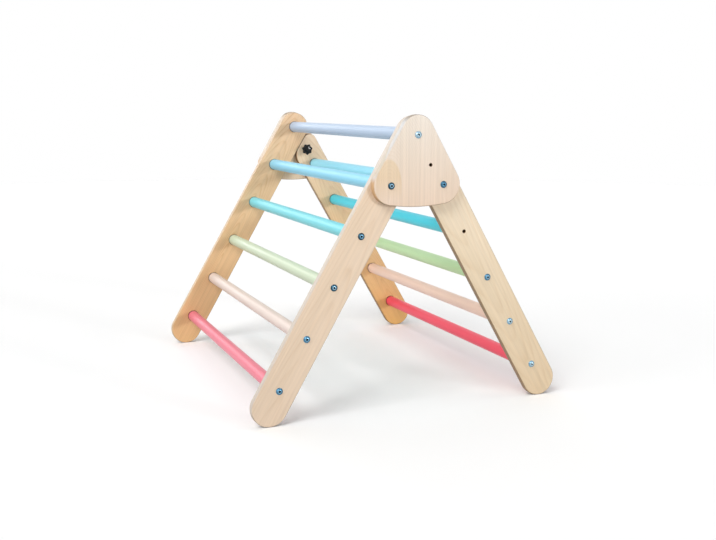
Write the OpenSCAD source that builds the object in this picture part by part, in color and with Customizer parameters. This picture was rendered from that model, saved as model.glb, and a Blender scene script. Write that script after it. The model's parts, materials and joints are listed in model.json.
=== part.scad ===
// Folding climbing triangle: two rung ladders that meet at a point.
// On each side the two ladders' side boards lie in one plane. The front boards carry an apex plate on
// their outer face. The rear ladder hangs between the plates on two pivot bolts at its top rung, stands
// open with its boards' mitred tops against the front boards, and is locked there by two star knobs.
//
// X runs from the front feet to the rear feet, Y along the rungs and Z up from the floor. The right side
// is at -Y. Boards are drawn in the side view, in X and Z from the top rung's axis, and stood up by
// on_side(), in which the third coordinate runs outwards from the front boards' inner faces.

/* [Ladders] */
// Distance between rung centres along a side board
rung_pitch = 110; // [100:1:130]
// Rungs on the front ladder, of which the rear ladder has one fewer
front_rungs = 6; // [4:1:7]
// Lean of each ladder from upright, in degrees
lean = 30; // [28:0.5:32]
// Clear width between the front ladder's side boards
inner_w = 710; // [500:1:900]
// From the lowest rung's centre to the centre of the rounded foot
foot_reach = 37.5; // [25:0.5:80]

/* [Side boards] */
// Width of a side board
leg_w = 72; // [68:1:76]
// Thickness of a side board
leg_t = 15; // [12:0.5:17]
// Radius of the point at the top of a rear board
point_r = 18; // [12:0.5:22]
// Bevel along every board edge
bevel = 1.5; // [0.5:0.1:2.5]
// Depth of the socket that houses each rung end
socket_depth = 4; // [2:0.5:6]

/* [Apex plates] */
// Thickness of an apex plate
plate_t = 15; // [14:0.5:17]
// Radius of the plate's top
plate_top_r = 34; // [28:0.5:36]
// Radius of the plate's two lower corners
plate_corner_r = 37.5; // [36:0.5:39]
// From the lower bolts down to the middle of the plate's bowed lower edge
plate_drop = 41.5; // [41:0.5:48]

/* [Rungs] */
// Diameter of a rung
rung_d = 26.5; // [24:0.5:34]
// Bevel round a rung's ends
rung_bevel = 1; // [0.5:0.1:2]

/* [Bolts and inserts] */
// Thread diameter of the bolts and of the knobs' studs
thread_d = 6; // [5:0.5:6]
// Diameter of a bolt's flanged head
head_d = 13.6; // [12:0.1:15]
// Height of a bolt's head
head_h = 3.3; // [2.5:0.1:4]
// Thickness of the flange under a bolt's head
flange_t = 1.1; // [0.8:0.1:1.4]
// Diameter of the dome on a bolt's flange
dome_d = 10.5; // [9.5:0.1:11]
// Width across the flats of the hexagon socket in a bolt's head
drive_af = 4; // [3:0.5:5]
// Depth of that socket
drive_depth = 2.2; // [1.5:0.1:2.4]
// Length of a bolt through a side board alone
short_bolt_l = 25; // [22:0.5:25]
// Length of a bolt through a plate and a side board
long_bolt_l = 40; // [36:0.5:40]
// Diameter of a threaded insert
insert_d = 10; // [9:0.5:12]
// Length of the insert in a rung's end
rung_insert_l = 16; // [15:0.5:25]
// Length of the insert in an apex plate
plate_insert_l = 12; // [10:0.5:12.5]

/* [Locking knobs] */
// From the pivot up along the rear board to the knob's axis
knob_up = 47; // [47:0.1:49]
// From the rear board's centre line towards the front ladder to the knob's axis
knob_off = 5.2; // [3:0.1:5.4]
// Diameter over the knob's lobes
knob_d = 28; // [24:0.5:30]
// Thickness of the knob's star
knob_t = 11; // [8:0.5:14]
// Diameter of the boss under the star
boss_d = 14; // [13:0.5:16]
// Height of the boss under the star
boss_h = 5; // [3:0.5:8]
// Radius of a lobe
lobe_r = 3.7; // [3.2:0.1:4.2]
// How far the hollows between the lobes are from the knob's rim
lobe_hollow = 2.4; // [1.5:0.1:3]
// How far the knob's crown falls from its middle to its rim
crown = 3; // [2:0.5:4]
// How deep the stud is held in the knob
stud_hold = 10; // [8:0.5:12]
// Length of stud that stands out of the knob
stud_l = 25; // [25:0.5:26]
// How far the knob screws in from its open place to its locked one
knob_travel = 8.5; // [7:0.1:8.5]
// Outer diameter of the knob's washer
washer_d = 12; // [11:0.5:14]
// Thickness of the knob's washer
washer_t = 1.6; // [1:0.1:2]

/* [Fits] */
// Gap between a rear board and its apex plate
swing_gap = 0.3; // [0.1:0.1:0.5]
// Gap between a rear board's mitred top and the front board it stops against
stop_gap = 0.3; // [0.1:0.1:0.6]
// Radial clearance of the pivot bolts in the plates
pivot_fit = 0.1; // [0.05:0.01:0.1]
// Radial clearance of bolts and studs in their inserts
thread_fit = 0.05; // [0.02:0.01:0.1]
// Radial clearance of bolts and studs in plain holes
hole_fit = 0.25; // [0.15:0.05:0.5]
// Clearance of a rung's end and of an insert in the wood round it
wood_fit = 0.1; // [0.05:0.05:0.2]
// Gap under a pivot bolt's head, and between a locked knob's washer and the board
turning_gap = 0.1; // [0.1:0.05:0.3]

/* [Hidden] */
$fn = 96;
// Facets round a board's corners
board_fn = 72;
rear_rungs = front_rungs - 1;
leg_reach = rear_rungs * rung_pitch + foot_reach;
leg_r = leg_w / 2;
apex_z = leg_reach * cos(lean) + leg_r;
thread_r = thread_d / 2;
hole_r = thread_r + hole_fit;
// Rear rungs that are left without bolts, so that their holes are open at the outside
open_rear_rungs = [2];
// Where the front boards' inner faces are, from the middle
inner_y = inner_w / 2;
// How far a washer's outer face is from the rear board while the knob is open
knob_stand = knob_travel + turning_gap;
// Where the knob's boss ends in the side view's third coordinate
knob_base = -swing_gap - knob_stand - washer_t;
// Bevels of the small metal pieces
metal_bevel = 0.6;
knob_lobes = 7;
// Steps in the curve of a bolt's dome
dome_steps = 8;
// How far a cut or a join runs past the face it starts from
past = 1;

paints = ["#9fb2e4", "#8fd3f2", "#7fe0e4", "#bfe3a0", "#f4d2c4", "#ee6f78"];
board_wood = "#e6d1ba";
plate_wood = "#ead5bd";
zinc = "#8fa6b5";
brass = "#b99b52";
black_plastic = "#17181b";

SIDES = ["right", "left"];

// The point a distance down the front or the rear ladder's centre line
function down_front(d) = [-d * sin(lean), -d * cos(lean)];
function down_rear(d) = [d * sin(lean), -d * cos(lean)];
// The point that is f behind the front centre line and r above the rear one, square to each
function between(f, r) = [(f + r) / (2 * cos(lean)), (r - f) / (2 * sin(lean))];
function front_axis(i) = down_front((i - 1) * rung_pitch);
function rear_axis(i) = down_rear(i * rung_pitch);
// The knob's axis: up the rear board from its pivot, and off its centre line
knob_axis = down_rear(rung_pitch - knob_up) - knob_off * [cos(lean), sin(lean)];

// A board wraps its rounds, [centre, radius]
front_leg_rounds = [[[0, 0], leg_r], [down_front(leg_reach), leg_r]];
// The rear board's mitred top runs from its point to a corner on its own centre line
rear_leg_rounds = [
    [down_rear(leg_reach), leg_r],
    [between(leg_r + stop_gap + point_r, leg_r - point_r), point_r],
    [between(leg_w + stop_gap, 0), leg_r]
];
// A plate corner is level with the lower bolts, and the plate's sides are flush with the boards' edges
corner_y = rear_axis(1)[1];
corner_x = (leg_r - plate_corner_r - corner_y * sin(lean)) / cos(lean);
plate_rounds = [
    [between(plate_top_r - leg_r, leg_r - plate_top_r), plate_top_r],
    [[-corner_x, corner_y], plate_corner_r],
    [[corner_x, corner_y], plate_corner_r]
];
// The plate's lower edge is bowed: its arc touches both corners and passes plate_drop below their level
bow_r = (pow(corner_x, 2) + pow(plate_drop, 2) - pow(plate_corner_r, 2))
    / (2 * (plate_drop - plate_corner_r));
bow_y = corner_y - plate_drop + bow_r;
bow_angle = atan2(corner_x, bow_y - corner_y);
bow_band = 10;

// Stands a side view up on the right side, or mirrors it to the left
module on_side(s) {
    mirror([0, s == "left" ? 1 : 0, 0])
        translate([0, -inner_y, apex_z])
            rotate([90, 0, 0])
                children();
}

module both_sides() {
    for (s = SIDES)
        on_side(s) children();
}

// Moves to a point of the side view
module at(p, z = 0) {
    translate([p[0], p[1], z]) children();
}

// Half of a board's section, out to the radius r, with its edges bevelled
module eased_section(inner, r, t) {
    polygon([[inner, 0], [r - bevel, 0], [r, bevel], [r, t - bevel], [r - bevel, t], [inner, t]]);
}

// A board of thickness t that wraps its rounds and any children
module eased_board(rounds, t) {
    hull() {
        for (disc = rounds)
            at(disc[0])
                rotate_extrude($fn = board_fn) eased_section(0, disc[1], t);
        children();
    }
}

// The cut for a hole through a thickness t
module through(t, r) {
    translate([0, 0, -past]) cylinder(h = t + 2 * past, r = r);
}

// A bolt hole with the socket for a rung's end at the board's inner face
module rung_bores(t) {
    through(t, hole_r);
    translate([0, 0, -past]) cylinder(h = socket_depth + past, r = rung_d / 2 + wood_fit);
}

module front_leg(s) {
    color(board_wood)
        on_side(s)
            difference() {
                eased_board(front_leg_rounds, leg_t);
                for (i = [1:front_rungs])
                    at(front_axis(i)) rung_bores(leg_t);
            }
}

module rear_leg(s) {
    color(board_wood)
        on_side(s)
            translate([0, 0, -swing_gap])
                difference() {
                    eased_board(rear_leg_rounds, leg_t);
                    for (i = [1:rear_rungs])
                        at(rear_axis(i)) rung_bores(leg_t);
                    at(knob_axis) through(leg_t, hole_r);
                }
}

module apex_plate(s) {
    color(plate_wood)
        on_side(s)
            translate([0, 0, leg_t])
                difference() {
                    eased_board(plate_rounds, plate_t)
                        at([0, bow_y])
                            rotate([0, 0, 270 - bow_angle])
                                rotate_extrude(angle = 2 * bow_angle, $fn = 3 * board_fn)
                                    eased_section(bow_r - bow_band, bow_r, plate_t);
                    for (i = [1, 2])
                        at(front_axis(i)) through(plate_t, hole_r);
                    at(rear_axis(1)) through(plate_t, thread_r + pivot_fit);
                    at(knob_axis) through(plate_t, thread_r);
                    at(knob_axis, -past) cylinder(h = plate_insert_l + past, r = insert_d / 2);
                }
}

// Bores are a little longer than the inserts in them
insert_bore_l = rung_insert_l + past;

// A rung on the axis p with a bore for an insert in each end
module rung(p, length) {
    end = length / 2;
    r = rung_d / 2;
    translate([p[0], 0, apex_z + p[1]])
        rotate([90, 0, 0])
            difference() {
                rotate_extrude()
                    polygon([
                        [0, -end], [r - rung_bevel, -end], [r, rung_bevel - end],
                        [r, end - rung_bevel], [r - rung_bevel, end], [0, end]
                    ]);
                for (m = [0, 1])
                    mirror([0, 0, m])
                        translate([0, 0, end - insert_bore_l])
                            cylinder(h = insert_bore_l + past, r = insert_d / 2);
            }
}

// Rungs end a little short of their sockets' floors
front_rung_l = inner_w + 2 * (socket_depth - wood_fit);
rear_rung_l = front_rung_l - 2 * swing_gap;

module front_rung(i) {
    color(paints[(i - 1) % len(paints)]) rung(front_axis(i), front_rung_l);
}

module rear_rung(i) {
    color(paints[i % len(paints)]) rung(rear_axis(i), rear_rung_l);
}

// A threaded insert with its mouth at z = 0 and its length behind it
module insert(length) {
    outer = insert_d / 2 - wood_fit / 2;
    difference() {
        rotate_extrude()
            polygon([
                [0, -length], [outer - metal_bevel, -length], [outer, metal_bevel - length],
                [outer, 0], [0, 0]
            ]);
        translate([0, 0, -length]) through(length, thread_r + thread_fit);
    }
}

module front_rung_inserts() {
    color(brass)
        both_sides()
            for (i = [1:front_rungs])
                at(front_axis(i), socket_depth - wood_fit) insert(rung_insert_l);
}

module rear_rung_inserts() {
    color(brass)
        both_sides()
            for (i = [1:rear_rungs])
                at(rear_axis(i), socket_depth - wood_fit - swing_gap) insert(rung_insert_l);
}

// Plate inserts are pressed in from the inner face
module plate_inserts() {
    color(brass)
        both_sides()
            at(knob_axis, leg_t + plate_insert_l) insert(plate_insert_l - wood_fit);
}

// A flanged bolt with its head's seat at z = 0, and a domed head with a hexagon socket above it
module bolt(length) {
    head_r = head_d / 2;
    dome_h = head_h - flange_t;
    difference() {
        rotate_extrude()
            polygon(concat(
                [
                    [0, -length], [thread_r - metal_bevel, -length], [thread_r, metal_bevel - length],
                    [thread_r, 0], [head_r, 0], [head_r, flange_t / 2], [head_r - flange_t / 2, flange_t]
                ],
                [for (k = [0:dome_steps])
                    let (a = 90 * k / dome_steps) [dome_d / 2 * cos(a), flange_t + dome_h * sin(a)]]
            ));
        translate([0, 0, head_h - drive_depth])
            cylinder(h = drive_depth + past, d = drive_af / cos(30), $fn = 6);
    }
}

module plate_bolts() {
    color(zinc)
        both_sides()
            for (i = [1, 2])
                at(front_axis(i), leg_t + plate_t) bolt(long_bolt_l);
}

module front_leg_bolts() {
    color(zinc)
        both_sides()
            for (i = [3:front_rungs])
                at(front_axis(i), leg_t) bolt(short_bolt_l);
}

module pivot_bolts() {
    color(zinc)
        both_sides()
            at(rear_axis(1), leg_t + plate_t + turning_gap) bolt(long_bolt_l);
}

module rear_leg_bolts() {
    color(zinc)
        both_sides()
            for (i = [2:rear_rungs])
                if (len(search(i, open_rear_rungs)) == 0)
                    at(rear_axis(i), leg_t - swing_gap) bolt(short_bolt_l);
}

module knob_washer(s) {
    color(zinc)
        on_side(s)
            at(knob_axis, knob_base)
                difference() {
                    cylinder(h = washer_t, d = washer_d);
                    through(washer_t, hole_r);
                }
}

// The star: a round middle with lobes, under a shallow crown
module star() {
    crown_r = (pow(knob_d / 2, 2) + pow(crown, 2)) / (2 * crown);
    lobe_ring = knob_d / 2 - lobe_r;
    intersection() {
        union() {
            cylinder(h = knob_t, r = knob_d / 2 - lobe_hollow);
            for (k = [0:knob_lobes - 1])
                rotate([0, 0, k * 360 / knob_lobes])
                    translate([lobe_ring, 0, 0])
                        cylinder(h = knob_t, r = lobe_r);
        }
        translate([0, 0, knob_t - crown_r]) sphere(r = crown_r);
    }
}

module star_knob(s) {
    color(black_plastic)
        on_side(s)
            at(knob_axis, knob_base)
                mirror([0, 0, 1])
                    difference() {
                        union() {
                            cylinder(h = boss_h + past, d = boss_d);
                            translate([0, 0, boss_h]) rotate([0, 0, -90]) star();
                        }
                        translate([0, 0, -past])
                            cylinder(h = stud_hold + past, r = thread_r + thread_fit);
                    }
}

module knob_stud(s) {
    color(zinc)
        on_side(s)
            at(knob_axis, knob_base)
                rotate_extrude()
                    polygon([
                        [0, thread_fit - stud_hold], [thread_r, thread_fit - stud_hold],
                        [thread_r, stud_l - metal_bevel], [thread_r - metal_bevel, stud_l], [0, stud_l]
                    ]);
}

for (s = SIDES) front_leg(s);
for (s = SIDES) rear_leg(s);
for (s = SIDES) apex_plate(s);
for (i = [1:front_rungs]) front_rung(i);
for (i = [1:rear_rungs]) rear_rung(i);
front_rung_inserts();
rear_rung_inserts();
plate_inserts();
plate_bolts();
front_leg_bolts();
pivot_bolts();
rear_leg_bolts();
for (s = SIDES) knob_washer(s);
for (s = SIDES) star_knob(s);
for (s = SIDES) knob_stud(s);
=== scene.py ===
"""Looks of a folding climbing triangle: two ladders of painted rungs between pale wooden boards.

Lengths are in metres. X runs from the front feet to the rear feet, Y along the rungs, with the right side
at -Y, and Z up from the floor. Boards, bolts and knobs are drawn in a side view, as (x, z, w), in which w
runs outwards from the middle of the object, and stand_up() puts them on either side.
"""
import json
import math

import bpy
import numpy as np
from mathutils import Matrix, Vector
from mathutils.geometry import delaunay_2d_cdt


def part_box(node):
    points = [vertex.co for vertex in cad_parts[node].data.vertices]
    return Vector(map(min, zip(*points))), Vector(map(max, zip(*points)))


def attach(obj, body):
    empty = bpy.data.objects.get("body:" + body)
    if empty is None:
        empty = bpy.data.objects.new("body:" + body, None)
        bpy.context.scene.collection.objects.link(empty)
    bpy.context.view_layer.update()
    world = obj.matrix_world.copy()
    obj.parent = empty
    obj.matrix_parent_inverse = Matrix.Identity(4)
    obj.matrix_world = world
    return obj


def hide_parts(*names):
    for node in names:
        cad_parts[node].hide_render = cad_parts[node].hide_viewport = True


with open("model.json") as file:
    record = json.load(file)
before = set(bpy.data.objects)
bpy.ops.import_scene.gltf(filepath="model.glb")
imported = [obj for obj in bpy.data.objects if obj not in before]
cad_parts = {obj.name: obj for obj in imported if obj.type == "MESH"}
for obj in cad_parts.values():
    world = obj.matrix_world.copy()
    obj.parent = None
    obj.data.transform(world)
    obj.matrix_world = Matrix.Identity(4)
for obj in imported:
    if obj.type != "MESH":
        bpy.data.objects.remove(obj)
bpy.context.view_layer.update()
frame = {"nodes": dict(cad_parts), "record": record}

MM = 0.001
SIDES = ("right", "left")
SEED = 7
rng = np.random.default_rng(SEED)


# ---------------------------------------------------------------- camera

CAMERA_PLACE = (-0.8095, -2.0771, 0.5971)
CAMERA_TURN = -22.104    # in degrees, like the next two
CAMERA_DOWN = 9.454
CAMERA_ROLL = 0.177
CAMERA_LENS = 49.37      # in millimetres, like the next
SENSOR_WIDTH = 36


def make_camera():
    """The photograph's viewpoint: turned about Z, tipped down from level and rolled about its own axis."""
    camera = bpy.data.objects.new("camera", bpy.data.cameras.new("camera"))
    camera.data.lens = CAMERA_LENS
    camera.data.sensor_width = SENSOR_WIDTH
    turn = Matrix.Rotation(math.radians(CAMERA_TURN), 4, "Z")
    tip = Matrix.Rotation(math.radians(90 - CAMERA_DOWN), 4, "X")
    roll = Matrix.Rotation(math.radians(CAMERA_ROLL), 4, "Z")
    camera.matrix_world = Matrix.Translation(CAMERA_PLACE) @ turn @ tip @ roll
    bpy.context.scene.collection.objects.link(camera)
    bpy.context.scene.camera = camera


make_camera()


# ---------------------------------------------------------------- sizes, from the frame

record = frame["record"]
body_of = {node: body for body, nodes in record["behaviour"]["bodies"].items() for node in nodes}
slot_of = {part["node"]: part["material_slot"] for part in record["subparts"]}


def centre_of(node):
    """The x and z of the middle of a node's box, which for a rung or a washer is its axis."""
    low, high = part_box(node)
    return np.array([low.x + high.x, low.z + high.z]) / 2


def inner_and_outer(node):
    """How far a node's inner and outer faces are from the middle of the object."""
    low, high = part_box(node)
    return sorted((abs(low.y), abs(high.y)))


def rungs_of(ladder):
    """The names of a ladder's rungs from the top down."""
    names = [node for node in slot_of if node.startswith(ladder + "_rung_") and node[-1].isdigit()]
    return sorted(names, key=lambda node: int(node.rsplit("_", 1)[1]))


front_rungs, rear_rungs = rungs_of("front"), rungs_of("rear")
front_axes = [centre_of(node) for node in front_rungs]
rear_axes = [centre_of(node) for node in rear_rungs]
knob_axis = centre_of("knob_washer_left")
apex = front_axes[0]
lean = math.atan2(apex[0] - front_axes[-1][0], apex[1] - front_axes[-1][1])
lean_deg = math.degrees(lean)
up_front = np.array([math.sin(lean), math.cos(lean)])
up_rear = np.array([-math.sin(lean), math.cos(lean)])

rung_low, rung_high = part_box("front_rung_1")
front_low, front_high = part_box("front_leg_left")
rear_low, rear_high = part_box("rear_leg_left")
plate_low, plate_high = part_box("apex_plate_left")
rung_r = (rung_high.z - rung_low.z) / 2
leg_r = front_high.z - apex[1]

POINT_R = 18 * MM           # rounding of a rear board's point
PLATE_TOP_R = 34 * MM
PLATE_CORNER_R = 37.5 * MM
STOP_GAP = 0.3 * MM         # from a front board's edge to the mitred edge of a rear board
SOCKET_DEPTH = 4 * MM       # how deep a rung stands in a board
SOCKET_FIT = 0.1 * MM       # play round a rung in its socket
HOLE_R = 3.25 * MM          # plain holes, and the hole of a washer
THREAD_R = 3 * MM
INSERT_R = 5 * MM           # the bore for an insert
RUNG_INSERT = 17 * MM       # its depth in a rung's end
PLATE_INSERT = 12 * MM      # and in a plate


# ---------------------------------------------------------------- meshes

ROUND = 48    # points round a small turned piece


class Shape:
    """A mesh put together from several surfaces, with values that are kept for each point. Faces come as a
    list of arrays, each of which holds faces with the same number of corners, one to a row."""

    def __init__(self):
        self.points, self.faces, self.values, self.count = [], [], {}, 0

    def add(self, points, faces, **values):
        """Adds a surface. A value is a number, a number for each point, or a row of three for each."""
        self.points.append(points)
        self.faces += [block + self.count for block in faces]
        for name, value in values.items():
            value = np.asarray(value, float)
            shape = (len(points), 3) if value.ndim == 2 else (len(points),)
            self.values.setdefault(name, []).append(np.broadcast_to(value, shape))
        self.count += len(points)

    def build(self, name):
        """The finished object, smooth and at the origin, with its values as attributes of its points."""
        mesh = bpy.data.meshes.new(name)
        faces = [face for block in self.faces for face in block.tolist()]
        mesh.from_pydata(np.concatenate(self.points).tolist(), [], faces)
        for key, parts in self.values.items():
            data = np.concatenate(parts)
            vector = data.ndim == 2
            attribute = mesh.attributes.new(key, "FLOAT_VECTOR" if vector else "FLOAT", "POINT")
            attribute.data.foreach_set("vector" if vector else "value", data.ravel())
        mesh.shade_smooth()
        mesh.update()
        piece = bpy.data.objects.new(name, mesh)
        bpy.context.scene.collection.objects.link(piece)
        return piece


def stand_for(node, shape, name, material):
    """Builds a shape as the piece that a node is shown by, with the node's body and finish."""
    piece = shape.build(name)
    piece.data.materials.append(material)
    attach(piece, body_of[node])
    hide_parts(node)


def grid_quads(rows, columns, closed_rows=False):
    """Quads of a grid of points, numbered row by row, whose columns close round, and its rows if asked."""
    row = np.arange(rows if closed_rows else rows - 1)[:, None]
    column = np.arange(columns)[None]
    here, above, beside = row * columns, (row + 1) % rows * columns, (column + 1) % columns
    quads = [here + column, here + beside, above + beside, above + column]
    return np.stack(quads, -1).reshape(-1, 4)


def circle(segments):
    """Directions (cos a, sin a) spaced evenly round a circle."""
    a = np.arange(segments) * (2 * math.pi / segments)
    return np.stack([np.cos(a), np.sin(a)], 1)


def turned(radii, heights, segments=ROUND, ring=False):
    """A turned shape: row k is at heights[k] and its point at angle a is radii[k] (cos a, sin a), where a
    radius, or a height, may differ round the row. Rows run up the outside. The two ends are closed by a
    point in the middle, unless the last row of a ring joins its first."""
    count = len(heights)
    radii = np.broadcast_to(np.reshape(radii, (count, -1)), (count, segments))
    heights = np.broadcast_to(np.reshape(heights, (count, -1)), (count, segments))
    points = np.concatenate([radii[..., None] * circle(segments), heights[..., None]], -1).reshape(-1, 3)
    faces = [grid_quads(count, segments, ring)]
    if not ring:
        first, last = len(points), len(points) - segments
        points = np.concatenate([points, [[0, 0, heights[0].mean()], [0, 0, heights[-1].mean()]]])
        here = np.arange(segments)
        after = (here + 1) % segments
        faces.append(np.stack([after, here, np.full(segments, first)], 1))
        faces.append(np.stack([last + here, last + after, np.full(segments, first + 1)], 1))
    return points, faces


def flipped(faces):
    """The same faces, turned to look the other way."""
    return [block[:, ::-1] for block in faces]


def stand_up(points, faces, side):
    """Stands the side view (x, z, w) up at y = -w on the right, or mirrors it to y = w on the left."""
    sign = -1 if side == "right" else 1
    stood = np.stack([points[:, 0], sign * points[:, 2], points[:, 1]], 1)
    return stood, faces if side == "right" else flipped(faces)


def round_corner(radius, steps=5):
    """Rows (inset, depth) of a quarter circle that turns from a face, at depth 0, into an edge."""
    a = np.linspace(0, math.pi / 2, steps)
    return np.stack([radius * (1 - np.sin(a)), radius * (1 - np.cos(a))], 1)


def share_between(value, start, end):
    """How far a value has come from start to end, as a share from 0 to 1."""
    return np.clip((value - start) / (end - start), 0, 1)


def linear(code):
    """A colour written as #rrggbb, in linear light, by the usual curve of a screen."""
    parts = [int(code[i:i + 2], 16) / 255 for i in (1, 3, 5)]
    return tuple(c / 12.92 if c <= 0.04045 else ((c + 0.055) / 1.055) ** 2.4 for c in parts) + (1.0,)


# ---------------------------------------------------------------- boards and plates

EASE = 1.7 * MM          # radius of a board's eased edges
KEEP = 0.6 * MM          # flat strip beside a rounding, which keeps its shading off the flats
MOUTH = 0.35 * MM        # easing of a hole's mouth
ARC_STEP = 2.2 * MM      # spacing of points round an arc
SOCKET_SIDES = 56        # points round a rung's socket
HOLE_SIDES = 28          # and round a smaller hole
PALE_EDGE = "#dce7f6"    # the cast of sawn edges, on the front boards and the plates
BROWN_EDGE_AND_SHADE = "#a08c70"   # and on the rear boards, browner: partly their edges' own cast, partly painted shade, as those edges face down
DOWN_EDGE_SHADE = "#dcc5a2"     # painted shade where a plate's edge turns down
HOLE_WALL_SHADE = "#6b5038"      # painted shade on the walls of holes

# How far an edge faces along the grain, from -1 to 1. It turns from long grain into end grain as the square
# of that passes from one of these to the other, and from a low edge, which on the plates takes painted
# shade, into a raised one as that itself does
END_GRAIN = (0.3, 0.75)
RAISED = (0.15, 0.45)


def outline(arcs):
    """Points and outward normals round a board. Each arc, (centre, radius, start, end), is the centre plus
    radius (cos a, sin a) between its angles in degrees, and a straight edge joins it to the next arc."""
    points, normals = [], []
    for centre, radius, start, end in arcs:
        a = np.radians(np.linspace(start, end, 2 + int(radius * math.radians(end - start) / ARC_STEP)))
        normals.append(np.stack([np.cos(a), np.sin(a)], 1))
        points.append(centre + radius * normals[-1])
    return np.concatenate(points), np.concatenate(normals)


def between(behind, above):
    """The point that is so far behind the front ladder's centre line and so far above the rear one's."""
    across, up = (behind + above) / (2 * math.cos(lean)), (above - behind) / (2 * math.sin(lean))
    return apex + np.array([across, up])


def front_arcs():
    """A front board: round at the foot, and round at the top behind the plate."""
    foot = np.array([front_low.x + leg_r, front_low.z + leg_r])
    return [(foot, leg_r, 180 - lean_deg, 360 - lean_deg), (apex, leg_r, -lean_deg, 180 - lean_deg)]


def rear_arcs():
    """A rear board: a round foot, a point at the top, and a mitred edge from it to a round corner."""
    foot = np.array([rear_high.x - leg_r, rear_low.z + leg_r])
    point = between(leg_r + STOP_GAP + POINT_R, leg_r - POINT_R)
    corner = between(2 * leg_r + STOP_GAP, 0)
    return [
        (foot, leg_r, lean_deg - 180, lean_deg),
        (point, POINT_R, lean_deg, 180 - lean_deg),
        (corner, leg_r, 180 - lean_deg, 180 + lean_deg),
    ]


def plate_arcs():
    """An apex plate: a rounded triangle whose lower edge is one shallow arc that touches both corners."""
    top = between(PLATE_TOP_R - leg_r, leg_r - PLATE_TOP_R)
    corner = np.array([plate_high.x - PLATE_CORNER_R, rear_axes[0][1]])
    drop = corner[1] - plate_low.z
    bow_r = (corner[0] ** 2 + drop ** 2 - PLATE_CORNER_R ** 2) / (2 * (drop - PLATE_CORNER_R))
    bow = np.array([0, plate_low.z + bow_r])
    half = math.degrees(math.atan2(corner[0], bow[1] - corner[1]))
    return [
        (top, PLATE_TOP_R, lean_deg, 180 - lean_deg),
        (corner * [-1, 1], PLATE_CORNER_R, 180 - lean_deg, 270 - half),
        (bow, bow_r, 270 - half, 270 + half),
        (corner, PLATE_CORNER_R, 270 + half, 360 + lean_deg),
    ]


def bore_rows(steps, thickness):
    """Rows (radius, depth) of a hole with eased mouths, whose steps are (radius, depth where it ends)."""
    first, last = steps[0][0], steps[-1][0]
    rows = [(first + MOUTH + KEEP, 0), (first + MOUTH, 0), (first, MOUTH)]
    for (radius, end), (next_radius, _) in zip(steps, steps[1:]):
        rows += [(radius, end), (next_radius, end)]
    rows += [(last, thickness - MOUTH), (last + MOUTH, thickness), (last + MOUTH + KEEP, thickness)]
    return np.array(rows)


def carried(line, normals, section):
    """A section's rows (inset, depth) carried round a line: the line less the inset along its normals."""
    flat = line - section[:, None, :1] * normals
    return np.concatenate([flat, np.broadcast_to(section[:, None, 1:], flat.shape[:2] + (1,))], -1)


def flat_triangles(rings, centres):
    """Triangles between a convex outer ring and the round holes in it, in numbers through all the rings."""
    points = np.concatenate(rings)
    starts = np.cumsum([0] + [len(ring) for ring in rings])
    edges = []
    for start, ring in zip(starts, rings):
        here = start + np.arange(len(ring))
        edges += np.stack([here, np.roll(here, -1)], 1).tolist()
    fill_hull, tolerance = 0, 1e-9
    result = delaunay_2d_cdt(points.tolist(), edges, [], fill_hull, tolerance)
    faces, given = result[2], [ids[0] for ids in result[3]]
    triangles = np.array(given)[np.array(faces)]
    middles = points[triangles].mean(1)
    for ring, centre in zip(rings[1:], centres):
        outside = np.linalg.norm(middles - centre, axis=1) > np.linalg.norm(ring[0] - centre)
        triangles, middles = triangles[outside], middles[outside]
    a, b, c = points[triangles].transpose(1, 0, 2)
    area = (b - a)[:, 0] * (c - a)[:, 1] - (b - a)[:, 1] * (c - a)[:, 0]
    return np.where(area[:, None] < 0, triangles[:, ::-1], triangles)


class Log:
    """Where a board was sawn from its log: the pith runs along the grain, so far behind the board's face
    and so far off its middle line. The face is tipped a little to it, so that rings cut it in arches."""

    def __init__(self, along, centre, pith, off_pith, tip, start, top, foot, edge=PALE_EDGE, shaded_low_edge=None,
                 figure=0.35, heart=0.0):
        self.along, self.across = np.array(along, float), np.array([-along[1], along[0]], float)
        self.centre, self.pith, self.off_pith, self.tip, self.start = centre, pith, off_pith, tip, start
        self.top, self.foot, self.edge, self.shaded_low_edge = (
            np.array([linear(code)[:3]]) for code in (top, foot, edge, shaded_low_edge or edge))
        self.figure, self.heart = figure, heart

    def places(self, points):
        """Along the grain, across it from the pith and out from the pith, for points of the side view: once
        as the fibres run, and once tipped, as the growth rings lie."""
        flat = points[:, :2] - self.centre
        along, across = flat @ self.along, flat @ self.across
        fibres = np.stack([along + self.start, across + self.off_pith, points[:, 2] + self.pith], 1)
        return fibres, fibres + self.tip * along[:, None] * [0, 0, 1]

    def colours(self, points):
        """The wood's colour, which changes evenly from the top of the object to the floor."""
        share = np.clip(points[:, 1] / front_high.z, 0, 1)[:, None]
        return self.foot + (self.top - self.foot) * share


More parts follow.
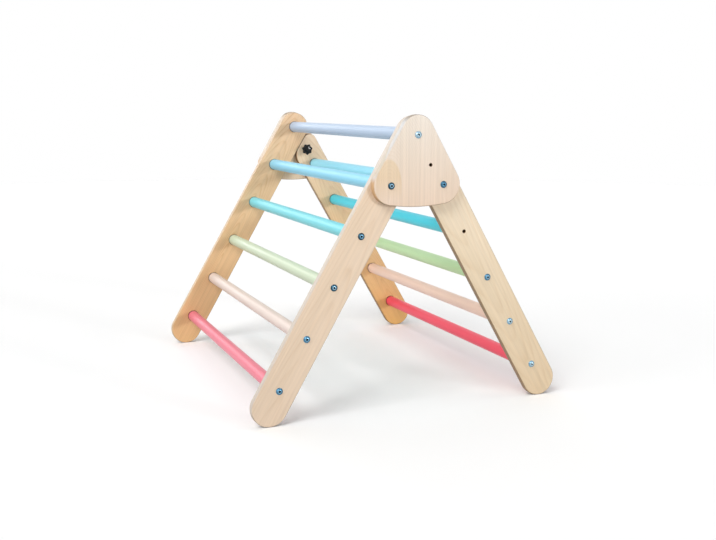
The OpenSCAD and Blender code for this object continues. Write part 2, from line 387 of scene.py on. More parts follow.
def board(side, arcs, faces_at, bores, log):
    """A board. Its edge is a section with rounded corners carried round the outline: the outline less the
    section's inset along its normal. Each hole is a stepped section turned about its axis, and the two
    faces are flat between the edge and the mouths of the holes."""
    inner, outer = faces_at
    thickness = outer - inner
    shape = Shape()

    def put(points, quads, sawn, end_grain, edge):
        stood, faces = stand_up(points + [0, 0, inner], [quads], side)
        grain, rings = log.places(points)
        shape.add(stood, faces, grain=grain, rings=rings, wood=log.colours(points), edge=edge,
                  figure=log.figure, heart=log.heart, sawn=sawn, end_grain=end_grain)

    line, normals = outline(arcs)
    corner = round_corner(EASE)
    section = np.concatenate([
        [[EASE + KEEP, 0]], corner, [[0, EASE + KEEP], [0, thickness - EASE - KEEP]],
        (corner * [1, -1] + [0, thickness])[::-1], [[EASE + KEEP, thickness]],
    ])
    rows, columns = len(section), len(line)
    rim = carried(line, normals, section)
    sawn = np.broadcast_to(1 - share_between(section[:, :1], 0, EASE), (rows, columns))
    facing = normals @ log.along
    across_grain = share_between(facing ** 2, *END_GRAIN)
    # 1 where an edge faces level or down along the grain and 0 where it faces up it; the plates' low edges
    # take painted shade
    low = 1 - share_between(facing, *RAISED)[:, None]
    put(rim.reshape(-1, 3), grid_quads(rows, columns), sawn.ravel(), (sawn * across_grain).ravel(),
        np.tile(log.edge + (log.shaded_low_edge - log.edge) * low, (rows, 1)))
    inner_rings, outer_rings = [rim[0, :, :2]], [rim[-1, :, :2]]
    inner_ids, outer_ids = [np.arange(columns)], [np.arange(columns) + (rows - 1) * columns]

    for centre, steps in bores:
        section = bore_rows(steps, thickness)
        segments = SOCKET_SIDES if steps[0][0] > rung_r else HOLE_SIDES
        hole = carried(centre, -circle(segments), section)
        # painted shade on each hole's wall and eased mouths, and not on the flat strips beside them
        wall = section[:, 0] < section[0, 0] - KEEP / 2
        wall[-1] = False
        start = shape.count
        inward = grid_quads(len(section), segments)[:, ::-1]
        put(hole.reshape(-1, 3), inward, np.repeat(wall, segments), 0.0, np.array([linear(HOLE_WALL_SHADE)[:3]]))
        inner_rings.append(hole[0, :, :2])
        outer_rings.append(hole[-1, :, :2])
        inner_ids.append(start + np.arange(segments))
        outer_ids.append(start + (len(section) - 1) * segments + np.arange(segments))

    centres = [centre for centre, _ in bores]
    for rings, ids, inwards in ((inner_rings, inner_ids, True), (outer_rings, outer_ids, False)):
        triangles = np.concatenate(ids)[flat_triangles(rings, centres)]
        if inwards == (side == "right"):
            triangles = triangles[:, ::-1]
        shape.faces.append(triangles)
    return shape


# For each board: how far the pith is behind its inner face and off its middle line, the tip of the face to
# the grain, where along the log it starts, and its colours at the top of the object and at the floor. Where
# it isn't as on most: the cast of its edges, which on the rear boards is partly painted shade, the painted
# shade of its low edges, how strongly its rings show, and how far a yellower heart goes
LOGS = {
    "front_leg_right": dict(pith=0.055, off_pith=0.010, tip=0.035, start=0.0, top="#f7dfc5",
                            foot="#e1cab2"),
    "front_leg_left": dict(pith=0.045, off_pith=-0.008, tip=0.110, start=1.3, top="#f4d0a9",
                           foot="#e7bb86", figure=0.85),
    "rear_leg_right": dict(pith=0.060, off_pith=-0.012, tip=-0.045, start=2.1, top="#fcebd1",
                           foot="#dfc7a5", edge=BROWN_EDGE_AND_SHADE),
    "rear_leg_left": dict(pith=0.050, off_pith=0.006, tip=0.090, start=3.7, top="#fde3c8",
                          foot="#eebb6e", edge=BROWN_EDGE_AND_SHADE, figure=0.65),
    "apex_plate_right": dict(pith=0.0346, off_pith=-0.060, tip=0.50, start=0.0, top="#f3e8db",
                             foot="#dc9645", shaded_low_edge=DOWN_EDGE_SHADE, heart=0.0277),
    "apex_plate_left": dict(pith=0.050, off_pith=0.020, tip=0.090, start=6.2, top="#f4dcc0",
                            foot="#f2cfae", shaded_low_edge=DOWN_EDGE_SHADE),
}


def make_boards(wood):
    """The four side boards and the two apex plates, with a socket for each rung."""
    rung_socket = [(rung_r + SOCKET_FIT, SOCKET_DEPTH), (HOLE_R, None)]
    plain_hole = [(HOLE_R, None)]
    insert_hole = [(INSERT_R, PLATE_INSERT), (THREAD_R, None)]
    front_bores = [(axis, rung_socket) for axis in front_axes]
    rear_bores = [(axis, rung_socket) for axis in rear_axes] + [(knob_axis, plain_hole)]
    plate_bores = [(axis, plain_hole) for axis in (*front_axes[:2], rear_axes[0])]
    plate_bores.append((knob_axis, insert_hole))
    for kind, arcs, bores, along, centre in (
        ("front_leg", front_arcs(), front_bores, up_front, apex),
        ("rear_leg", rear_arcs(), rear_bores, up_rear, rear_axes[0]),
        ("apex_plate", plate_arcs(), plate_bores, (0, 1), apex),
    ):
        for side in SIDES:
            node = f"{kind}_{side}"
            shape = board(side, arcs, inner_and_outer(node), bores, Log(along, centre, **LOGS[node]))
            stand_for(node, shape, node + "_wood", wood)


# ---------------------------------------------------------------- rungs

RUNG_EASE = 1.0 * MM
RUNG_SIDES = 64
SEAM = 9 * MM               # how far from a board a rung's paint takes painted shade, darker towards the seam
GRAIN_RUN = 5.0             # each rung's grain starts somewhere along this length
RUNG_PITH = (0.03, 0.02)    # and is measured from this far off its middle


def make_rung(node, board_face, paint):
    """A dowel turned about Y, with eased ends and a blind bore for its insert in each."""
    axis = centre_of(node)
    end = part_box(node)[1].y
    corner = round_corner(RUNG_EASE, 4)
    half = [(INSERT_R, end - RUNG_INSERT), (INSERT_R, end)] + [(rung_r - i, end - d) for i, d in corner]
    half += [(rung_r, board_face), (rung_r, board_face - SEAM)]
    rows = np.array([(r, -h) for r, h in half] + [(r, h) for r, h in half[::-1]])
    points, faces = turned(rows[:, 0], rows[:, 1], RUNG_SIDES)
    # painted shade: the paint darkens over the last SEAM towards each board
    seam = np.append(np.repeat(np.abs(rows[:, 1]) > board_face - SEAM / 2, RUNG_SIDES), [True, True])
    grain = points[:, [2, 0, 1]] + [rng.uniform(0, GRAIN_RUN), *RUNG_PITH]
    stood = np.stack([points[:, 0] + axis[0], -points[:, 2], points[:, 1] + axis[1]], 1)
    shape = Shape()
    shape.add(stood, faces, grain=grain, seam=seam)
    stand_for(node, shape, node + "_dowel", paint)


# ---------------------------------------------------------------- bolts

HEAD_R = 6.8 * MM
HEAD_H = 3.3 * MM
FLANGE_T = 1.1 * MM
FLANGE_EASE = 0.3 * MM
FLANGE_SLOPE = 0.4 * MM     # how much lower the flange is at its rim than beside the dome
DOME_R = 5.25 * MM
DOME_ANGLES = np.radians(np.arange(12, 61, 8))
DRIVE_R = 2 * MM            # the hexagon socket, from its middle to a flat
DRIVE_LIP = 0.2 * MM        # from one row to the next round its mouth
DRIVE_MOUTH = 0.45 * MM     # how far below the dome's top its walls start
DRIVE_DEPTH = 2.2 * MM
DRIVE_POINT = 0.3 * MM      # and how much deeper the drill's point went
POINT_SHARE = 0.3           # which leaves a flat of this share of the socket
SHORT_BOLT = 25 * MM
LONG_BOLT = 40 * MM
TIP_R = 0.7 * THREAD_R      # a bolt's tapered tip
TIP_L = 0.8 * MM
PIVOT_GAP = 0.1 * MM        # between a pivot bolt's seat and its plate

# Painted reflections: how light each bolt's plating is painted round its rim and on its dome, from 0 to 1,
# from the top bolt down
BOLT_REFLECTIONS = {
    "plate_bolts": ((0.75, 0.85), (0.0, 0.75)),
    "front_leg_bolts": ((0.0, 0.6), (0.05, 0.75), (0.35, 0.6), (0.3, 0.6)),
    "pivot_bolts": ((0.2, 0.5),),
    "rear_leg_bolts": ((0.3, 0.7), (0.65, 0.95), (0.65, 0.95)),
}


def bolt(length, turn):
    """A flanged bolt with its seat at height 0. Rows run up the shank and the flange and over the dome,
    (DOME_R cos a, FLANGE_T + rise sin a), to a hexagon socket, whose radius is DRIVE_R over the cosine of
    the angle from the nearest flat."""
    a = np.arange(ROUND) * (2 * math.pi / ROUND) + turn
    hexagon = DRIVE_R / np.cos((a + math.pi / 6) % (math.pi / 3) - math.pi / 6)
    rise = HEAD_H - FLANGE_T
    profile = [
        (TIP_R, -length), (THREAD_R, TIP_L - length), (THREAD_R, 0), (HEAD_R - FLANGE_EASE, 0),
        (HEAD_R, FLANGE_EASE), (HEAD_R, FLANGE_T - FLANGE_SLOPE), (HEAD_R - FLANGE_EASE, FLANGE_T),
        (DOME_R + FLANGE_EASE, FLANGE_T),
    ]
    profile += [(DOME_R * math.cos(t), FLANGE_T + rise * math.sin(t)) for t in DOME_ANGLES]
    rows = [(np.full(ROUND, r), np.full(ROUND, h)) for r, h in profile]
    for lip in (2 * DRIVE_LIP, DRIVE_LIP):
        rows.append((hexagon + lip, FLANGE_T + rise * np.sqrt(1 - ((hexagon + lip) / DOME_R) ** 2)))
    socket = [(1, DRIVE_MOUTH), (1, DRIVE_DEPTH), (POINT_SHARE, DRIVE_DEPTH + DRIVE_POINT)]
    rows += [(hexagon * share, np.full(ROUND, HEAD_H - depth)) for share, depth in socket]
    points, faces = turned([r for r, _ in rows], [h for _, h in rows], ROUND)
    # the socket's points, which take painted shade
    shaded_socket = np.arange(len(points)) >= (len(rows) - len(socket)) * ROUND
    shaded_socket[-2] = False      # the point that closes the shank's tip
    return points, faces, shaded_socket


def make_bolts(node, length, axes, seat, shades, metal):
    """One node's bolts, on both sides, each turned its own way, with painted reflection shades for the rim
    and the dome, and painted shade marked in the socket.
    """
    shape = Shape()
    for side in SIDES:
        for axis, (rim, dome) in zip(axes, shades):
            points, faces, shaded_socket = bolt(length, rng.uniform(0, math.pi / 3))
            stood, faces = stand_up(points + [*axis, seat], faces, side)
            shape.add(stood, faces, rim=rim, dome=dome, socket=shaded_socket, around=points)
    stand_for(node, shape, node + "_plated", metal)


# ---------------------------------------------------------------- locking knobs

KNOB_R = 14 * MM            # the star's radius over its lobes, and its thickness
KNOB_T = 11 * MM
KNOB_SIDES = 168
UNDER_R = 12.8 * MM         # its radius and its rounding underneath
UNDER_EASE = 1 * MM
WAIST_R = 13.8 * MM         # its radius at this height from the knob's base
WAIST_H = 9.5 * MM
OVER_EASE = 2 * MM          # its rounding on top
CROWN = 1.5 * MM            # rise of its middle over that
CROWN_SHARES = np.linspace(0.82, 0.05, 12)
CROWN_FOOT = 0.86           # the share of the radius at which the crown's curve starts
LOBES = 7
HOLLOW = 2.4 * MM
HOLLOW_SHAPE = 0.85         # below 1, the hollows are wider than the lobes
HOLLOW_FADE = 1.5           # how soon the hollows fade on the crown
BORE_EASE = 0.3 * MM
SEAT_GAP = 0.05 * MM        # between the boss and its washer
STUD_HOLD = 10 * MM         # how much of a stud is in its knob
STUD_L = 25 * MM            # and how much stands out
STUD_FIT = 0.05 * MM
STUD_SIDES = 32
STUD_SHADE = 0.5            # of its plating and its washer's, on the bolts' scale of painted reflection
BORE_GAP = 0.1 * MM         # between a stud's end and the bottom of its bore
NARROW_FROM = 1 * MM        # how far from its tip a stud starts to narrow
NARROW_TO = 0.25 * MM       # and where it is done
NARROWED = 0.75             # to this share of its radius
PITCH = 1 * MM
ROWS_TO_A_PITCH = 8
THREAD_DEPTH = 0.55 * MM
WASHER_R = 6 * MM
WASHER_EASE = 0.25 * MM

# The section of the boss under the star, from its seat up, as (radius, height)
BOSS_H = 5 * MM
BOSS_SECTION = (
    (6.2 * MM, SEAT_GAP), (6.7 * MM, 0.3 * MM), (6.8 * MM, 1.2 * MM), (6.9 * MM, 4 * MM),
    (7.5 * MM, 4.8 * MM), (8.2 * MM, BOSS_H),
)


def star_knob():
    """A star knob that hangs from its base at height 0: rows run down its bore, up the boss, under the
    star, round its lobes and over its crown, whose height falls as the square of the radius, and the whole
    is then turned over. A lobed row is pulled in by the hollow's depth times a power of (1 - cos 7a) / 2,
    and one lobe points straight down."""
    a = np.arange(KNOB_SIDES) * (2 * math.pi / KNOB_SIDES) + math.pi / 2
    hollow = HOLLOW * ((1 - np.cos(LOBES * a)) / 2) ** HOLLOW_SHAPE
    bore, top = THREAD_R + STUD_FIT, BOSS_H + KNOB_T - CROWN
    plain = [(bore, STUD_HOLD), (bore, BORE_EASE), (bore + BORE_EASE, SEAT_GAP), *BOSS_SECTION]
    rows = [(np.full(KNOB_SIDES, r), h) for r, h in plain]
    rows += [(UNDER_R - i - hollow, BOSS_H + d) for i, d in round_corner(UNDER_EASE)]
    rows.append((WAIST_R - hollow, WAIST_H))
    rows += [(KNOB_R - i - hollow, top - d) for i, d in round_corner(OVER_EASE, 7)[::-1]]
    for share in CROWN_SHARES:
        rise = CROWN * (1 - (share / CROWN_FOOT) ** 2)
        rows.append((KNOB_R * share - hollow * share ** HOLLOW_FADE, top + rise))
    points, faces = turned([r for r, _ in rows], [h for _, h in rows], KNOB_SIDES)
    return points * [1, 1, -1], flipped(faces)


def stud():
    """A stud with its thread: the radius falls from its crest in a zigzag of the height over the pitch,
    less the share of a full turn, and narrows at the tip."""
    heights = np.arange(BORE_GAP - STUD_HOLD, STUD_L, PITCH / ROWS_TO_A_PITCH)
    phase = (heights[:, None] / PITCH - np.arange(STUD_SIDES) / STUD_SIDES) % 1
    groove = THREAD_DEPTH * (1 - 2 * np.abs(phase - 0.5))
    narrowing = (1 - NARROWED) * share_between(heights, STUD_L - NARROW_FROM, STUD_L - NARROW_TO)
    return turned((THREAD_R - groove) * (1 - narrowing[:, None]), heights, STUD_SIDES)


def washer(thickness):
    """A washer: a small section with eased corners, turned as a ring."""
    eased_in, eased_out, ease = HOLE_R + WASHER_EASE, WASHER_R - WASHER_EASE, WASHER_EASE
    rows = [
        (eased_in, 0), (eased_out, 0), (WASHER_R, ease), (WASHER_R, thickness - ease),
        (eased_out, thickness), (eased_in, thickness), (HOLE_R, thickness - ease), (HOLE_R, ease),
    ]
    return turned([r for r, _ in rows], [h for _, h in rows], ring=True)


def make_knobs(plastic, metal):
    """On each side, the star knob, its stud and its washer, on the axis and the face of the washer."""
    for side in SIDES:
        base, face = inner_and_outer(f"knob_washer_{side}")
        for kind, (points, faces), material in (
            ("star_knob", star_knob(), plastic),
            ("knob_stud", stud(), metal),
            ("knob_washer", washer(face - base), metal),
        ):
            stood, faces = stand_up(points + [*knob_axis, base], faces, side)
            shape = Shape()
            shape.add(stood, faces, rim=STUD_SHADE, dome=STUD_SHADE, around=points)
            stand_for(f"{kind}_{side}", shape, f"{kind}_{side}_made", material)


# ---------------------------------------------------------------- finishes

NOISE_LOW, NOISE_HIGH = 0.3, 0.7     # most of a noise lies between these


class Finish:
    """A material in the making. Each method adds a node or two and gives the last one's output."""

    def __init__(self, name):
        self.material = bpy.data.materials.new(name)
        self.material.use_nodes = True
        self.tree = self.material.node_tree
        self.tree.nodes.clear()

    def node(self, kind, inputs, output=0, **settings):
        """A node whose inputs are linked, where they are given another node's output, or else set."""
        node = self.tree.nodes.new(kind)
        for key, value in settings.items():
            setattr(node, key, value)
        for key, value in inputs.items():
            if isinstance(value, bpy.types.NodeSocket):
                self.tree.links.new(value, node.inputs[key])
            else:
                node.inputs[key].default_value = value
        return node.outputs[output]

    def value(self, name):
        return self.node("ShaderNodeAttribute", {}, "Fac", attribute_name=name)

    def vector(self, name):
        return self.node("ShaderNodeAttribute", {}, "Vector", attribute_name=name)

    def place(self):
        return self.node("ShaderNodeTexCoord", {}, "Object")

    def scaled(self, vector, by):
        return self.node("ShaderNodeVectorMath", {0: vector, 1: by}, operation="MULTIPLY")

    def length(self, vector):
        return self.node("ShaderNodeVectorMath", {0: vector}, "Value", operation="LENGTH")

    def noise(self, vector, fineness, detail=2.0, roughness=0.5):
        """Noise that changes so many times to the metre, along each axis of a vector."""
        place = self.scaled(vector, fineness)
        settings = {"Vector": place, "Scale": 1.0, "Detail": detail, "Roughness": roughness}
        return self.node("ShaderNodeTexNoise", settings)

    def math(self, operation, *inputs):
        return self.node("ShaderNodeMath", dict(enumerate(inputs)), operation=operation)

    def share(self, value, start, end):
        """How far a value has come from start to end, as a share from 0 to 1."""
        return self.node("ShaderNodeMapRange", {"Value": value, "From Min": start, "From Max": end})

    def both(self, a, part, b):
        """Part of one value and the rest of another."""
        return self.math("MULTIPLY_ADD", a, part, self.math("MULTIPLY", b, 1 - part))

    def ramp(self, factor, *stops):
        """A ramp through stops of (position, colour or grey)."""
        output = self.node("ShaderNodeValToRGB", {"Fac": factor})
        elements = output.node.color_ramp.elements
        while len(elements) < len(stops):
            elements.new(1.0)
        for element, (position, colour) in zip(elements, stops):
            element.position = position
            element.color = colour if isinstance(colour, tuple) else (colour, colour, colour, 1)
        return output

    def spread(self, noise, low, high):
        """A ramp from one colour or grey to another, over the range in which most of a noise lies."""
        return self.ramp(noise, (NOISE_LOW, low), (NOISE_HIGH, high))

    def mix(self, factor, a, b, blend="MIX"):
        return self.node("ShaderNodeMix", {0: factor, 6: a, 7: b}, 2, data_type="RGBA", blend_type=blend)

    def tinted(self, colour, tint, factor=1.0):
        return self.mix(factor, colour, tint, "MULTIPLY")

    def bump(self, height, distance):
        return self.node("ShaderNodeBump", {"Height": height, "Distance": distance, "Strength": 1.0})

    def surface(self, **inputs):
        """The finished material, from the principled shader's inputs, written with _ for spaces."""
        named = {key.replace("_", " "): value for key, value in inputs.items()}
        return self.shown(self.node("ShaderNodeBsdfPrincipled", named))

    def shown(self, shader):
        output = self.tree.nodes.new("ShaderNodeOutputMaterial")
        self.tree.links.new(shader, output.inputs["Surface"])
        return self.material


# The wood's patterns, in changes to the metre along the grain and, twice, across it
WANDER = (3, 28, 28)
FADE = (5, 60, 60)
STREAKS = (2.2, 190, 190)
FIBRES = (45, 2600, 2600)
CLOUDS = (4, 14, 14)
PORES = (600, 1500, 1500)

# What the patterns do to its colour, as grey or colour to multiply it by
STREAK_SHADES = (0.935, 1.045)
FIBRE_SHADES = (0.965, 1.025)
CLOUD_SHADES = ((0.97, 0.96, 0.93, 1), (1.02, 1.02, 1.02, 1))
RING_TINT = (0.80, 0.68, 0.52, 1)
HEART_TINT = (0.96, 0.90, 0.76, 1)

YEAR = 3.4 * MM                         # from one growth ring to the next
WANDER_YEARS = 2.2                      # how far a ring wanders, in years
BEFORE_PITH = (-9, -9, 0)               # places behind the pith count as level with it
HEART_ENDS = (-0.125, -0.08)            # where along the grain the heart fades away
HEART_WANDER = 3 * MM
HEART_BLUR = 0.6 * MM

# How dark a ring is through a year, and how that comes and goes with the noise of its fading
YEAR_DEPTHS = ((0.0, 0.35), (0.12, 0.0), (0.55, 0.12), (0.93, 1.0), (1.0, 0.35))
FADE_DEPTHS = ((0.35, 0.15), (0.75, 1.0))

END_PALE, END_DARK = "#a8957f", "#77654f"
END_COVER = 0.9                         # how much of the face's look end grain hides
WOOD_ROUGHNESS = ((0.3, 0.42), (1.0, 0.62))
END_ROUGHER = 0.5                       # how much further along that ramp end grain is
FIBRE_PART = 0.6                        # the fibres' part of the relief, to 1 of the streaks
WOOD_RELIEF = 0.06 * MM


def wood_finish():
    """Pale varnished hardwood: growth rings about each board's pith, a yellower heart, streaks and fine
    fibres along the grain, greyer sawn edges and brown end grain. Painted shade darkens the rear boards'
    edges in part, and the plates' low edges and the walls of holes."""
    f = Finish("varnished_wood")
    grain = f.vector("grain")
    wander = f.noise(grain, WANDER)
    streak = f.noise(grain, STREAKS, detail=3.0, roughness=0.6)
    fibre = f.noise(grain, FIBRES, detail=3.0, roughness=0.6)
    clouded = f.tinted(f.vector("wood"), f.spread(f.noise(grain, CLOUDS), *CLOUD_SHADES))

    cut = {0: f.vector("rings"), 1: BEFORE_PITH}
    before_pith = f.node("ShaderNodeVectorMath", cut, operation="MAXIMUM")
    radius = f.length(f.scaled(before_pith, (0, 1, 1)))
    heart_edge = f.math("MULTIPLY_ADD", wander, HEART_WANDER, radius)
    in_heart = f.share(f.math("SUBTRACT", f.value("heart"), heart_edge), -HEART_BLUR, HEART_BLUR)
    lasting = f.share(f.node("ShaderNodeSeparateXYZ", {0: grain}, "X"), *HEART_ENDS)
    hearted = f.tinted(clouded, HEART_TINT, f.math("MULTIPLY", in_heart, lasting))

    years = f.math("MULTIPLY_ADD", wander, WANDER_YEARS, f.math("MULTIPLY", radius, 1 / YEAR))
    ring = f.ramp(f.math("FRACT", years), *YEAR_DEPTHS)
    fading = f.ramp(f.noise(grain, FADE, detail=3.0), *FADE_DEPTHS)
    depth = f.math("MULTIPLY", f.math("MULTIPLY", ring, fading), f.value("figure"))
    ringed = f.tinted(hearted, RING_TINT, depth)
    streaked = f.tinted(ringed, f.spread(streak, *STREAK_SHADES))
    faced = f.tinted(streaked, f.spread(fibre, *FIBRE_SHADES))

    # the edges' own cast, and painted shade: in part on the rear boards' edges, fully on the plates' low
    # edges and in holes
    edged = f.tinted(faced, f.vector("edge"), f.value("sawn"))
    ended = f.mix(f.both(ring, 0.5, f.noise(grain, PORES)), linear(END_PALE), linear(END_DARK))
    colour = f.mix(f.math("MULTIPLY", f.value("end_grain"), END_COVER), edged, ended)
    rough = f.ramp(f.math("MULTIPLY_ADD", f.value("end_grain"), END_ROUGHER, fibre), *WOOD_ROUGHNESS)
    relief = f.math("ADD", f.math("MULTIPLY", fibre, FIBRE_PART), streak)
    return f.surface(
        Base_Color=colour, Roughness=rough, Specular_IOR_Level=0.4, Coat_Weight=0.2, Coat_Roughness=0.3,
        Normal=f.bump(relief, WOOD_RELIEF),
    )


# The paint of each rung from the top down. Most of the rear ladder's are stronger than the front's: they
# are copies of the same paints with painted shade, for rungs seen in shade
PAINTS_WITH_REAR_SHADE = {
    "front": ("#b5c8df", "#8dd4ee", "#79d7e2", "#cad8bc", "#decdc3", "#e57789"),
    "rear": ("#9fe9ff", "#44d6e8", "#cdeab1", "#fbd7c5", "#ff536a"),
}

BRUSH_MARKS = (3, 260, 260)             # in changes to the metre along the grain and, twice, across it
PAINT_CLOUDS = (9, 40, 40)
CLOUD_PART = 0.35                       # how much of the paint's thickness is clouds, and not brush marks
THICK_SHADE = 0.95                      # what thick and thin paint multiply the colour by
THIN_SHADE = 1.03
SHOWN_THROUGH = 0.004                   # and what the wood adds to it where it is thin
# painted shade where each rung meets a board
SEAM_SHADE_TINT = (0.30, 0.30, 0.36, 1)
SEAM_FALL = 1.5                         # above 1, the painted shade keeps closer to the seam
PAINT_ROUGHNESS = (0.30, 0.42)
PAINT_RELIEF = 0.05 * MM


def paint_finish(name, code):
    """Satin paint brushed along a dowel, with the wood's fibres showing faintly through it, and painted
    shade that darkens it towards its seams with the boards.
    """
    f = Finish(name + "_satin")
    grain = f.vector("grain")
    marks = f.noise(grain, BRUSH_MARKS, detail=3.0, roughness=0.6)
    base = linear(code)[:3]
    thick = (*(c * THICK_SHADE for c in base), 1.0)
    thin = (*(min(1.0, c * THIN_SHADE + SHOWN_THROUGH) for c in base), 1.0)
    painted = f.mix(f.both(f.noise(grain, PAINT_CLOUDS), CLOUD_PART, marks), thick, thin)
    return f.surface(
        Base_Color=f.tinted(painted, SEAM_SHADE_TINT, f.math("POWER", f.value("seam"), SEAM_FALL)),
        Roughness=f.spread(marks, *PAINT_ROUGHNESS), Specular_IOR_Level=0.3,
        Normal=f.bump(marks, PAINT_RELIEF),
    )


# the zinc's own blue, between a painted dark reflection and a painted pale reflection, which clouds also
# reach
ZINC_DARK, ZINC, ZINC_PALE = "#2a4553", "#5d93b4", "#c0d7df"
# painted shade in the bolts' hexagon sockets
SOCKET_SHADE = "#131e26"
ZINC_CLOUDS = (260, 260, 260)           # in changes to the metre
ZINC_CLOUDING = 0.4                     # how much lighter a whole cloud is
TURNING_MARKS = (9000, 1, 1)            # outwards from the axis
DOME_TO_RIM = (0.48, 0.66)              # where one painted reflection shade turns into the other, as shares of HEAD_R
ZINC_ROUGHNESS = (0.22, 0.36)
ZINC_RELIEF = 0.02 * MM


def plated_finish():
    """Blue zinc plate: clouded, with painted reflections that give a rim and a dome their own shades,
    painted shade in the socket and fine turning marks."""
    f = Finish("zinc_plate")
    off_axis = f.length(f.scaled(f.vector("around"), (1, 1, 0)))
    marks = f.noise(f.node("ShaderNodeCombineXYZ", {0: off_axis}), TURNING_MARKS)
    cloud = f.noise(f.place(), ZINC_CLOUDS, detail=3.0)
    outwards = f.share(f.math("MULTIPLY", off_axis, 1 / HEAD_R), *DOME_TO_RIM)
    shades = {0: outwards, 2: f.value("dome"), 3: f.value("rim")}
    plain = f.node("ShaderNodeMix", shades, 0, data_type="FLOAT")
    shade = f.math("MULTIPLY_ADD", f.math("SUBTRACT", cloud, 0.5), ZINC_CLOUDING, plain)
    plate = f.ramp(shade, (0.0, linear(ZINC_DARK)), (0.5, linear(ZINC)), (1.0, linear(ZINC_PALE)))
    return f.surface(
        Base_Color=f.mix(f.value("socket"), plate, linear(SOCKET_SHADE)), Metallic=1.0,
        Roughness=f.spread(cloud, *ZINC_ROUGHNESS), Normal=f.bump(marks, ZINC_RELIEF),
    )


INSERT_DEEP, INSERT_PALE = "#b8944a", "#d9c07c"
INSERT_CLOUDS = (400, 400, 400)
INSERT_ROUGHNESS = (0.28, 0.42)


def insert_finish():
    """Yellow zinc plate on the threaded inserts, a little clouded."""
    f = Finish("insert_plate")
    cloud = f.noise(f.place(), INSERT_CLOUDS, detail=3.0)
    return f.surface(
        Base_Color=f.mix(cloud, linear(INSERT_DEEP), linear(INSERT_PALE)), Metallic=1.0,
        Roughness=f.spread(cloud, *INSERT_ROUGHNESS), Normal=f.bump(cloud, ZINC_RELIEF),
    )


BLACK, PALER_BLACK = "#060607", "#101012"
ORANGE_PEEL = (900, 900, 900)
BLACK_CLOUDS = (120, 120, 120)
BLACK_ROUGHNESS = (0.10, 0.16)
PEEL_RELIEF = 0.02 * MM


def plastic_finish():
    """Black moulded plastic, glossy, with a faint orange-peel skin."""
    f = Finish("moulded_black")
    cloud = f.noise(f.place(), BLACK_CLOUDS)
    return f.surface(
        Base_Color=f.mix(cloud, linear(BLACK), linear(PALER_BLACK)),
        Roughness=f.spread(cloud, *BLACK_ROUGHNESS), Specular_IOR_Level=0.3,
        Normal=f.bump(f.noise(f.place(), ORANGE_PEEL), PEEL_RELIEF),
    )


# ---------------------------------------------------------------- the object

make_boards(wood_finish())

for ladder, rungs in (("front", front_rungs), ("rear", rear_rungs)):
    board_face = inner_and_outer(f"{ladder}_leg_left")[0]
    for node, code in zip(rungs, PAINTS_WITH_REAR_SHADE[ladder]):
        make_rung(node, board_face, paint_finish(f"{ladder}_{slot_of[node]}", code))

zinc = plated_finish()
front_face, rear_face, plate_face = (
    inner_and_outer(node)[1] for node in ("front_leg_left", "rear_leg_left", "apex_plate_left"))
for node, length, axes, seat in (
    ("plate_bolts", LONG_BOLT, front_axes[:2], plate_face),
    ("front_leg_bolts", SHORT_BOLT, front_axes[2:], front_face),
    ("pivot_bolts", LONG_BOLT, rear_axes[:1], plate_face + PIVOT_GAP),
    ("rear_leg_bolts", SHORT_BOLT, rear_axes[2:], rear_face),
):
    make_bolts(node, length, axes, seat, BOLT_REFLECTIONS[node], zinc)
make_knobs(plastic_finish(), zinc)

insert_plate = insert_finish()
for node in ("front_rung_inserts", "rear_rung_inserts", "plate_inserts"):
    insert = frame["nodes"][node]
    insert.data.materials.clear()
    insert.data.materials.append(insert_plate)


# ---------------------------------------------------------------- floor, backdrop and light

FLOOR_RINGS = np.array([0.001, 0.3, 1, 2, 4, 6])    # their radii
FLOOR_SIDES = 96
FLOOR_SEEN = 0.98       # the floor's brightness where it is seen or mirrored
FLOOR_GLOW = 0.01       # and what is added there, so that its faintest shadows are lost in white
FLOOR_LIT = 0.66        # what it sends back to the object
SKY = 0.275             # light from all round
SKY_FRONT = 0.14        # and how much more comes from straight in front

# Each lamp: how bright, which way it is, and how many degrees across
LAMPS = {
    "key_light": (0.53, (-0.56, -0.40, 0.73), 30),
    "side_light": (0.25, (-0.95, -0.06, 0.30), 30),
    "top_light": (0.17, (-0.08, 0.50, 0.86), 44),
    "fill_light": (0.07, (0.48, -0.16, 0.86), 24),
    "rim_light": (0.06, (-0.22, 0.94, 0.26), 20),
    "window_light": (0.25, (0.50, -0.85, 0.15), 7),
}


def seen_or_mirrored(tree):
    """1 for what the camera sees, directly, in a mirror or through glass, and 0 for light on a surface."""
    path = tree.nodes.new("ShaderNodeLightPath")
    seen = path.outputs["Is Camera Ray"]
    for ray in ("Is Glossy Ray", "Is Transmission Ray"):
        either = tree.nodes.new("ShaderNodeMath")
        either.operation = "MAXIMUM"
        tree.links.new(seen, either.inputs[0])
        tree.links.new(path.outputs[ray], either.inputs[1])
        seen = either.outputs[0]
    return seen


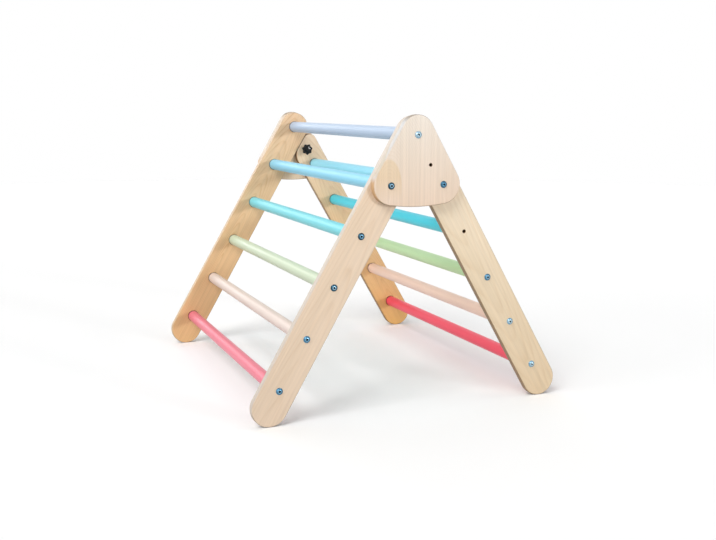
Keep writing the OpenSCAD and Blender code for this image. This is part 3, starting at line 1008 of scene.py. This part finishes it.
def make_floor():
    """A pale matt disc at height 0, of rings of points (r cos a, r sin a), with its own glow added where it
    is seen or mirrored."""
    flat = FLOOR_RINGS[:, None, None] * circle(FLOOR_SIDES)
    points = np.concatenate([flat, np.zeros(flat.shape[:2] + (1,))], -1).reshape(-1, 3)
    middle = np.arange(FLOOR_SIDES)[None]
    shape = Shape()
    shape.add(points, [grid_quads(len(FLOOR_RINGS), FLOOR_SIDES)[:, ::-1], middle])
    floor = shape.build("studio_floor")
    f = Finish("floor_white")
    seen = seen_or_mirrored(f.tree)
    tint = f.mix(seen, (FLOOR_LIT,) * 3 + (1,), (FLOOR_SEEN,) * 3 + (1,))
    matt = f.node("ShaderNodeBsdfDiffuse", {"Color": tint, "Roughness": 0.0})
    glow = f.node("ShaderNodeEmission", {"Strength": f.math("MULTIPLY", seen, FLOOR_GLOW)})
    floor.data.materials.append(f.shown(f.node("ShaderNodeAddShader", {0: matt, 1: glow})))


def make_backdrop():
    """A world that is plain white where it is seen or mirrored, and a soft light on everything, of SKY all
    round plus SKY_FRONT times how far it comes from the front, -y."""
    world = bpy.data.worlds.new("studio")
    bpy.context.scene.world = world
    world.use_nodes = True
    tree = world.node_tree
    nodes, links = tree.nodes, tree.links
    nodes.clear()
    light, white = nodes.new("ShaderNodeBackground"), nodes.new("ShaderNodeBackground")
    apart, front = nodes.new("ShaderNodeSeparateXYZ"), nodes.new("ShaderNodeMapRange")
    links.new(nodes.new("ShaderNodeTexCoord").outputs["Generated"], apart.inputs[0])
    links.new(apart.outputs["Y"], front.inputs["Value"])
    for key, value in (("From Min", 0), ("From Max", -1), ("To Min", SKY), ("To Max", SKY + SKY_FRONT)):
        front.inputs[key].default_value = value
    links.new(front.outputs[0], light.inputs["Strength"])
    white.inputs["Strength"].default_value = 1.0
    for background in (light, white):
        background.inputs["Color"].default_value = (1, 1, 1, 1)
    mix = nodes.new("ShaderNodeMixShader")
    links.new(seen_or_mirrored(tree), mix.inputs[0])
    links.new(light.outputs[0], mix.inputs[1])
    links.new(white.outputs[0], mix.inputs[2])
    links.new(mix.outputs[0], nodes.new("ShaderNodeOutputWorld").inputs["Surface"])


def make_lamps():
    """A soft key from the upper left and a lower light from that side, broad lights overhead and from the
    right, a low one behind that runs a gleam along the rungs, and a small low one from the right, which the
    knobs' gloss shows."""
    for name, (strength, away, spread) in LAMPS.items():
        lamp = bpy.data.lights.new(name, "SUN")
        lamp.angle, lamp.energy = math.radians(spread), strength * math.pi
        stand = bpy.data.objects.new(name, lamp)
        stand.matrix_world = Vector(away).to_track_quat("Z", "Y").to_matrix().to_4x4()
        bpy.context.scene.collection.objects.link(stand)


make_floor()
make_backdrop()
make_lamps()

bpy.context.scene.view_settings.view_transform = "Standard"
